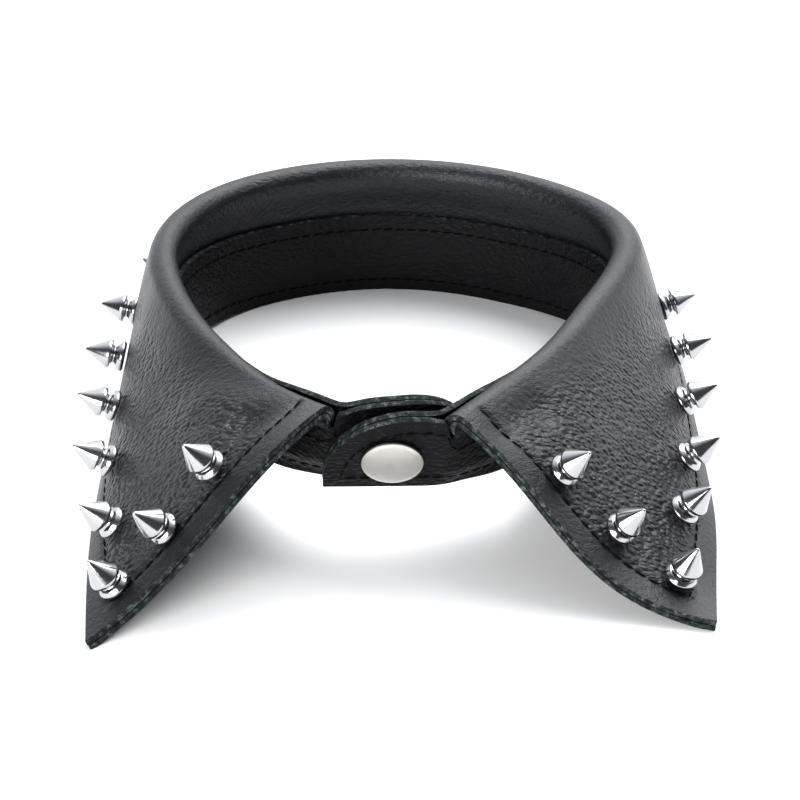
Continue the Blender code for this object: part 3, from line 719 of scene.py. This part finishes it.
def edge_seam(fall, normals, edges):
    """Line of the leaf's stitching: one inset from the left front, the lower and the right front edge."""
    left, lower, right = [distance_to_line(fall, edge) for edge in edges]
    from_left = front_seam(left, lower, fall, normals)
    along_lower = seam_part(lower, LEAF_STITCH_INSET, [left, right], fall, normals)
    from_right = front_seam(right[::-1], lower[::-1], fall[::-1], normals[::-1])
    points = np.concatenate([from_left[0], along_lower[0], from_right[0][::-1]])
    ups = np.concatenate([from_left[1], along_lower[1], from_right[1][::-1]])
    return points, ups


# Finishes

class Nodes:
    """The node tree of a new material or world. Inputs take numbers, colours or outputs of other nodes."""

    def __init__(self, owner):
        owner.use_nodes = True
        self.owner = owner
        self.tree = owner.node_tree

    def give(self, node, inputs):
        """Sets inputs of a node, by name or number."""
        for key, value in inputs.items():
            if isinstance(value, bpy.types.NodeSocket):
                self.tree.links.new(value, node.inputs[key])
            else:
                node.inputs[key].default_value = value

    def add(self, kind, output, inputs, **settings):
        """A new node; returns one of its outputs."""
        node = self.tree.nodes.new("ShaderNode" + kind)
        for key, value in settings.items():
            setattr(node, key, value)
        self.give(node, inputs)
        return node.outputs[output]

    def end(self, name, inputs):
        """Sets inputs of the node that the tree came with; returns the finished material or world."""
        self.give(self.tree.nodes[name], inputs)
        return self.owner

    def place(self, stretch=(1.0, 1.0, 1.0)):
        """Object coordinates, stretched for a grain that runs one way."""
        where = self.add("TexCoord", "Object", {})
        return self.add("Mapping", "Vector", {"Vector": where, "Scale": stretch})

    def combine(self, operation, first, second):
        """One sum or product of two outputs or numbers."""
        return self.add("Math", 0, {0: first, 1: second}, operation=operation)

    def add_up(self, parts):
        """The sum of outputs, each times its weight."""
        total = 0.0
        for output, weight in parts:
            total = self.combine("ADD", self.combine("MULTIPLY", output, weight), total)
        return total

    def ramp(self, source, stops):
        """A colour ramp with (place, grey or colour) stops."""
        node = self.tree.nodes.new("ShaderNodeValToRGB")
        line = node.color_ramp
        for number, (place, colour) in enumerate(stops):
            if isinstance(colour, float):
                colour = (colour, colour, colour)
            stop = line.elements[number] if number < 2 else line.elements.new(place)
            stop.position = place
            stop.color = (*colour, 1.0)
        self.give(node, {"Fac": source})
        return node.outputs["Color"]

    def bump(self, height, strength, distance):
        """Normals that follow a height, with its full distance in metres."""
        return self.add("Bump", "Normal", {"Height": height, "Strength": strength, "Distance": distance})


def new_finish(name):
    return Nodes(bpy.data.materials.new(name))


def grain_leather(hide):
    """Finished leather: pebbles between sunk wrinkles, stretched sideways, with fine pores and uneven gloss.

    A patchy hide has its wrinkles only where the piece's grain attribute says.
    """
    nodes = new_finish(hide.name)
    place = nodes.place(GRAIN_STRETCH)
    drift = nodes.add("TexNoise", "Color", {"Vector": place, "Scale": 230.0, "Detail": 2.0})
    moved = {0: drift, 1: (GRAIN_DRIFT, GRAIN_DRIFT, GRAIN_DRIFT), 2: place}
    drifted = nodes.add("VectorMath", 0, moved, operation="MULTIPLY_ADD")
    scale = 1000.0 / hide.pebble
    pebbled = {"Vector": drifted, "Scale": scale, "Smoothness": 0.22}
    pebbles = nodes.add("TexVoronoi", "Distance", pebbled, feature="SMOOTH_F1")
    folded = {"Vector": drifted, "Scale": 0.42 * scale, "Detail": 3.0, "Roughness": 0.6}
    folds = nodes.add("TexNoise", "Fac", folded)
    pores = nodes.add("TexVoronoi", "Distance", {"Vector": place, "Scale": 3200.0}, feature="F1")
    soft = nodes.add("TexNoise", "Fac", {"Vector": place, "Scale": 55.0, "Detail": 2.0})

    wrinkled = nodes.add_up(((pebbles, -1.5), (folds, 1.1)))
    where = nodes.combine("MULTIPLY", soft, 1.9)
    if hide.patchy:
        grain = nodes.add("Attribute", "Fac", {}, attribute_name="grain")
        where = nodes.combine("MULTIPLY", where, nodes.combine("ADD", grain, LEAST_GRAIN))
    wrinkled = nodes.combine("MULTIPLY", wrinkled, where)
    rise = nodes.add_up(((wrinkled, 1.0), (pores, -0.12)))
    # Painted shade: the base colour falls to 0.6 of the hide's colour in the sunk folds of the grain.
    shaded_wrinkle_colour = tuple(0.6 * part for part in hide.colour)
    return nodes.end("Principled BSDF", {
        "Base Color": nodes.ramp(folds, ((0.35, shaded_wrinkle_colour), (0.65, hide.colour))),
        "Normal": nodes.bump(rise, 1.0, hide.relief),
        "Roughness": nodes.ramp(soft, ((0.3, hide.roughness - 0.05), (0.7, hide.roughness + 0.06))),
        "Specular IOR Level": hide.gloss,
    })


def raw_edge(name):
    """Cut edge of dyed leather: frayed fibres in dark green-grey with pale specks."""
    nodes = new_finish(name)
    place = nodes.place()
    fibrous = {"Vector": place, "Scale": 2600.0, "Detail": 4.0, "Roughness": 0.75}
    fibres = nodes.add("TexNoise", "Fac", fibrous)
    clumps = nodes.add("TexNoise", "Fac", {"Vector": place, "Scale": 700.0, "Detail": 2.0})
    mixed = nodes.combine("MULTIPLY", fibres, clumps)
    tints = ((0.16, (0.004, 0.005, 0.006)), (0.28, (0.020, 0.024, 0.024)), (0.42, (0.13, 0.15, 0.15)))
    return nodes.end("Principled BSDF", {
        "Base Color": nodes.ramp(mixed, tints),
        "Normal": nodes.bump(mixed, 0.9, 0.0004),
        "Roughness": 0.85,
        "Specular IOR Level": 0.12,
    })


def waxed_thread(name):
    """Black waxed thread with a fine twist."""
    nodes = new_finish(name)
    twist = nodes.add("TexWave", "Fac", {"Vector": nodes.place(), "Scale": 900.0, "Distortion": 2.0})
    return nodes.end("Principled BSDF", {
        # Painted shade: the base colour darkens in the low grooves of the twist.
        "Base Color": nodes.ramp(twist, ((0.2, 0.001), (0.8, 0.003))),
        "Normal": nodes.bump(twist, 0.4, 0.0001),
        "Roughness": 0.7,
        "Specular IOR Level": 0.04,
    })


def plated_metal(name, colour, roughness, wear):
    """Plated metal with a faint unevenness in its gloss."""
    nodes = new_finish(name)
    cloud = nodes.add("TexNoise", "Fac", {"Vector": nodes.place(), "Scale": 420.0, "Detail": 3.0})
    dull = tuple(0.93 * part for part in colour)
    return nodes.end("Principled BSDF", {
        "Base Color": nodes.ramp(cloud, ((0.3, dull), (0.7, colour))),
        "Roughness": nodes.ramp(cloud, ((0.3, roughness), (0.7, roughness + wear))),
        "Normal": nodes.bump(cloud, 0.06, 0.0001),
        "Metallic": 1.0,
    })


# Pieces

def make_leaf(leaf, finishes):
    """Two plies folded over together, with a row of stitches through both near their cut edges."""
    grid, first = leaf_grid(leaf, LEAF_SECTIONS, LEAF_FREE_ROWS, LEAF_FOLD_ROWS, LEAF_FALL_ROWS)
    edges = free_edges(grid, first)
    top, inset = sunk_form(grid, first, edges)
    grain = grain_strength(grid, first, inset)
    inner = under_side(grid, PLY)
    piece = ply_piece("top_leather", top, inner, finishes["leather"], finishes["edge"], grain)
    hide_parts("leaf_top_ply")

    coarse, _ = leaf_grid(leaf, UNDER_SECTIONS, LEAF_FREE_ROWS, LEAF_FOLD_ROWS, UNDER_FALL_ROWS)
    piece = ply_piece(
        "under_leather",
        under_side(coarse, PLY + PLY_GAP)[:, 2:],
        under_side(coarse, LEAF_THICKNESS)[:, 2:],
        finishes["shaded_lining"],
        finishes["edge"],
    )
    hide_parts("leaf_under_ply")

    normals = grid_normals(top)[:, first:]
    points, ups = edge_seam(top[:, first:], normals, edges)
    below = points - ups * (LEAF_THICKNESS + 0.1)
    return [sewn_line(points, ups), sewn_line(below, -ups)]


def band_places(band, leaf):
    """Places along the band: close together at the rounded ends and beside the leaf's corners."""
    start = BAND_FIRST_PLACE
    rounding = start + (BAND_END_ROUND - start) * np.linspace(0.0, 1.0, 40) ** 1.8
    beside = leaf.band_ends[:, None] + np.linspace(-BAND_FINE_BESIDE, BAND_FINE_BESIDE, 29)[None]
    even = np.linspace(BAND_END_ROUND, band.length - BAND_END_ROUND, BAND_PLACES)
    near = np.abs(even[:, None] - leaf.band_ends[None]).min(axis=1) < BAND_FINE_BESIDE + 0.1
    places = np.concatenate([rounding, beside.reshape(-1), even[~near], band.length - rounding])
    return np.unique(np.round(places, 4))


def band_outline(band):
    """The stitch line on the band in (place, height): up one end, along the top, down the other and back."""
    part = np.linspace(0.02, 1.0, END_SEAM_POINTS)
    place = BAND_END_ROUND * part
    height = BAND_HEIGHT * np.sqrt(1 - (1 - part) ** 2)
    end = np.column_stack([place, height])
    run = np.gradient(end, axis=0)
    inward = np.column_stack([run[:, 1], -run[:, 0]])
    inward /= np.linalg.norm(inward, axis=1, keepdims=True)
    moved = end + inward * TAB_STITCH_INSET
    moved = moved[moved[:, 1] > FOOT_STITCH_INSET]
    corner = np.array([[moved[0, 0] - 0.3, FOOT_STITCH_INSET]])
    moved = np.concatenate([corner, moved])
    other = np.column_stack([band.length - moved[:, 0], moved[:, 1]])[::-1]
    level = moved[-1, 1]
    along = np.linspace(moved[-1, 0], other[0, 0], TOP_SEAM_POINTS)[1:-1]
    top = np.column_stack([along, np.full(len(along), level)])
    foot = np.linspace(other[-1, 0], moved[0, 0], FOOT_SEAM_POINTS)[1:]
    bottom = np.column_stack([foot, np.full(len(foot), FOOT_STITCH_INSET)])
    return np.concatenate([moved, top, other]), bottom


def make_band(band, leaf, finishes):
    """Two plies cut alike, with one seam all round them."""
    places = band_places(band, leaf)
    rows = np.linspace(0.0, 1.0, BAND_ROWS)
    height = band.full_height(places)[:, None] * rows
    zero = np.zeros_like(height)
    piece = ply_piece(
        "band_inner_leather",
        band.face(places, height, zero - HALF_BAND),
        band.face(places, height, zero - PLY_GAP / 2),
        finishes["shaded_lining"],
        finishes["edge"],
    )
    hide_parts("band_inner_ply")

    outer = band.outer_height(places, leaf)[:, None] * rows
    gap = band.parting(places, outer, leaf)
    piece = ply_piece(
        "band_outer_leather",
        band.face(places, outer, gap + PLY_GAP / 2),
        band.face(places, outer, gap + HALF_BAND),
        finishes["smooth"],
        finishes["edge"],
    )
    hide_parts("band_outer_ply")

    lines = []
    for row in band_outline(band):
        at, up_to = row[:, 0], row[:, 1:2]
        _, _, outward = band.directions(at)
        under_leaf = np.minimum(up_to, band.outer_height(at, leaf)[:, None] - TAB_STITCH_INSET)
        outside = band.parting(at, under_leaf, leaf) + HALF_BAND
        lines.append(sewn_line(band.face(at, under_leaf, outside)[:, 0], outward))
        lines.append(sewn_line(band.face(at, up_to, 0 * up_to - HALF_BAND)[:, 0], -outward))
    return lines


def rounded(points):
    """A profile with each inner corner replaced by a quadratic arc that ends a set reach from it."""
    made = [points[0]]
    for before, here, after in zip(points[:-2], points[1:-1], points[2:]):
        before, here, after = np.array(before), np.array(here), np.array(after)
        back = min(CORNER_REACH, 0.45 * np.linalg.norm(before - here))
        ahead = min(CORNER_REACH, 0.45 * np.linalg.norm(after - here))
        start = here + (before - here) / np.linalg.norm(before - here) * back
        end = here + (after - here) / np.linalg.norm(after - here) * ahead
        for part in np.linspace(0.0, 1.0, CORNER_POINTS):
            made.append((1 - part) ** 2 * start + 2 * part * (1 - part) * here + part ** 2 * end)
    made.append(points[-1])
    return np.array(made, float)


def spike_profile():
    """Flange with a round edge, hollow neck, straight rim, cone and small round tip."""
    flange = FLANGE_DIAMETER / 2
    neck = NECK_DIAMETER / 2
    cone = CONE_DIAMETER / 2
    return rounded((
        (0.0, 0.0),
        (flange - 0.5, 0.0),
        (flange, 0.5),
        (flange, 1.1),
        (flange - 0.75, FLANGE_HEIGHT - 0.15),
        (neck + 0.35, FLANGE_HEIGHT + 0.1),
        (neck, 2.9),
        (neck + 0.3, CONE_RIM_BOTTOM - 0.1),
        (cone - 0.2, CONE_RIM_BOTTOM),
        (cone, CONE_RIM_BOTTOM + 0.2),
        (cone, CONE_RIM_TOP),
        (SPIKE_TIP_RADIUS, SPIKE_HEIGHT - SPIKE_TIP_RADIUS * 0.9),
        (SPIKE_TIP_RADIUS * 0.5, SPIKE_HEIGHT - 0.12),
        (0.0, SPIKE_HEIGHT),
    ))


def outer_row_seats(fall, normals):
    """Even seats at one inset from the lower edge, a set way from both front edges; the last is set back."""
    to_lower_edge = np.linalg.norm(fall - fall[:, -1:], axis=2)
    row = np.argmin(np.abs(to_lower_edge - OUTER_INSET), axis=1)
    sections = np.arange(len(fall))
    points = fall[sections, row]
    directions = normals[sections, row]
    clear = np.ones(len(fall), bool)
    for front_edge, start in ((fall[0], OUTER_ROW_FROM_LEFT_FRONT), (fall[-1], OUTER_ROW_FROM_RIGHT_FRONT)):
        clear &= np.linalg.norm(points[:, None] - front_edge[None], axis=2).min(axis=1) >= start
    points = points[clear]
    directions = directions[clear]
    run = distance_along(points)
    places = np.linspace(0.0, run[-1], OUTER_SPIKES)
    places[-1] -= LAST_SPIKE_SET_BACK
    picked = np.searchsorted(run, places - 0.01)
    return list(zip(points[picked], directions[picked]))


def front_edge_seats(fall, normals, wanted):
    """Seats at set distances from the leaf's point and front edge; the first section is that edge."""
    near = fall[:FRONT_SECTIONS].reshape(-1, 3)
    near_normals = normals[:FRONT_SECTIONS].reshape(-1, 3)
    from_point = np.linalg.norm(near - fall[0, -1], axis=1)
    from_edge = np.linalg.norm(near[:, None] - fall[None, 0], axis=2).min(axis=1)
    seats = []
    for seat_wanted in wanted:
        picked = np.argmin(np.hypot(from_edge - seat_wanted.inset, from_point - seat_wanted.from_point))
        seats.append((near[picked], near_normals[picked]))
    return seats


def spike_seats(leaf):
    """Points and normals on the leaf's good side where the spikes stand."""
    rises = np.array([0.33, 0.67])
    turns = np.linspace(0.0, 1.0, 6)
    steps = np.linspace(0.0, 1.0, FINE_ROWS + 1)[1:]
    grid, first = leaf.good_side(np.linspace(0.0, 1.0, FINE_SECTIONS), rises, turns, steps)
    normals = grid_normals(grid)[:, first:]
    fall = grid[:, first:]
    seats = front_edge_seats(fall, normals, LEFT_FRONT_SEATS)
    seats += outer_row_seats(fall, normals)
    seats += front_edge_seats(fall[::-1], normals[::-1], RIGHT_FRONT_SEATS)
    return seats


def make_spikes(leaf, finish):
    profile = spike_profile()
    for number, (point, normal) in enumerate(spike_seats(leaf), start=1):
        seat = point + normal * SPIKE_STAND_OFF
        piece = lathe(f"cone_spike_{number:02d}", profile, SPIKE_SIDES, seat, normal, finish)
        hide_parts(f"spike_{number:02d}")


def make_snap_cap(band, finish):
    """Low dome with a small rolled rim."""
    place = np.array([band.length - CAP_FROM_TAB_END])
    _, _, outward = band.directions(place)
    outward = outward[0]
    on_tab = band.face(place, np.array([[CAP_UP_THE_BAND]]), np.zeros((1, 1)))[0, 0]
    radius = CAP_DIAMETER / 2
    profile = [
        (0.0, 0.0),
        (radius - 0.4, 0.0),
        (radius - 0.05, 0.25),
        (radius, 0.55),
        (radius - 0.15, 0.85),
        (radius - 0.42, 0.92),
    ]
    for part in np.linspace(0.9, 0.02, 16):
        profile.append((part * radius, CAP_DOME_FROM + (CAP_HEIGHT - CAP_DOME_FROM) * (1 - part ** 2.2)))
    profile.append((0.0, CAP_HEIGHT))
    seat = on_tab + outward * (HALF_BAND + STAND_OFF)
    piece = lathe("domed_snap_cap", profile, CAP_SIDES, seat, outward, finish)
    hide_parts("snap_cap")


def dress_hidden_fittings(frame, screw_finish, snap_finish):
    """The solids that stay as they are get their metals."""
    for name, node in frame["nodes"].items():
        if name.startswith("screw_"):
            finish = screw_finish
        elif name in ("snap_socket", "snap_stud", "snap_post"):
            finish = snap_finish
        else:
            continue
        node.data.materials.clear()
        node.data.materials.append(finish)


# Studio

def make_floor():
    """Plain white table top."""
    corners = np.array([[-1.0, -1.0, 0.0], [1.0, -1.0, 0.0], [1.0, 1.0, 0.0], [-1.0, 1.0, 0.0]])
    points = corners * TABLE_REACH * MM
    mesh = bpy.data.meshes.new("table_top")
    mesh.from_pydata(points.tolist(), [], [(0, 1, 2, 3)])
    white = {"Base Color": (0.90, 0.90, 0.90, 1.0), "Roughness": 0.9}
    mesh.materials.append(new_finish("white_table").end("Principled BSDF", white))
    floor = bpy.data.objects.new("table_top", mesh)
    bpy.context.scene.collection.objects.link(floor)


def hang_softbox(softbox):
    """A rectangular light at a place in metres, turned to look at another."""
    light = bpy.data.lights.new(softbox.name, "AREA")
    light.shape = "RECTANGLE"
    light.size = softbox.width
    light.size_y = softbox.height
    light.energy = softbox.power
    made = bpy.data.objects.new(softbox.name, light)
    place = np.array(softbox.place)
    away = np.array(softbox.aim) - place
    flat = math.hypot(away[0], away[1])
    made.location = place
    heading = math.atan2(away[1], away[0]) - math.pi / 2
    made.rotation_euler = Euler((math.atan2(flat, -away[2]), 0.0, heading))
    bpy.context.scene.collection.objects.link(made)


def light_room():
    """Surroundings bright behind and above the collar and dark towards the camera, and two softboxes.

    Strength rises smoothly from dark to bright with the dot product of the direction and the bright way.
    """
    nodes = Nodes(bpy.data.worlds.new("studio"))
    way = nodes.add("TexCoord", "Generated", {})
    facing = nodes.add("VectorMath", "Value", {0: way, 1: BRIGHT_WAY}, operation="DOT_PRODUCT")
    rising = {
        "Value": facing,
        "From Min": ROOM_DARK_UP_TO,
        "From Max": ROOM_BRIGHT_FROM,
        "To Min": ROOM_DARK,
        "To Max": ROOM_BRIGHT,
    }
    strength = nodes.add("MapRange", "Result", rising, interpolation_type="SMOOTHSTEP")
    bpy.context.scene.world = nodes.end("Background", {"Color": ROOM_COLOUR, "Strength": strength})
    for softbox in SOFTBOXES:
        hang_softbox(softbox)


def make_camera():
    """The photo's camera: looks level along +Y and down by a set angle."""
    camera = bpy.data.cameras.new("camera")
    camera.lens = CAMERA_LENS
    camera.sensor_width = SENSOR
    made = bpy.data.objects.new("camera", camera)
    made.location = on_frame(np.array(CAMERA_PLACE))
    made.rotation_euler = (math.radians(90 - CAMERA_DOWN), 0.0, 0.0)
    bpy.context.scene.collection.objects.link(made)
    bpy.context.scene.camera = made


def main():
    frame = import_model()
    band = Band()
    leaf = Leaf(band)
    finishes = {
        "leather": grain_leather(GRAIN_HIDE),
        "smooth": grain_leather(SHADED_SMOOTH_HIDE),
        "shaded_lining": grain_leather(SHADED_LINING_HIDE),
        "edge": raw_edge("raw_cut_edge"),
    }
    thread = waxed_thread("black_waxed_thread")
    chrome = plated_metal("bright_chrome", (0.42, 0.42, 0.43), 0.13, 0.05)
    satin = plated_metal("satin_nickel_plate", (0.54, 0.52, 0.485), 0.27, 0.06)

    leaf_lines = make_leaf(leaf, finishes)
    band_lines = make_band(band, leaf, finishes)
    stitches("leaf_stitching", leaf_lines, thread)
    stitches("band_stitching", band_lines, thread)
    make_spikes(leaf, chrome)
    make_snap_cap(band, satin)
    dress_hidden_fittings(frame, chrome, satin)

    make_floor()
    light_room()
    make_camera()
    bpy.context.scene.view_settings.view_transform = "Standard"


main()
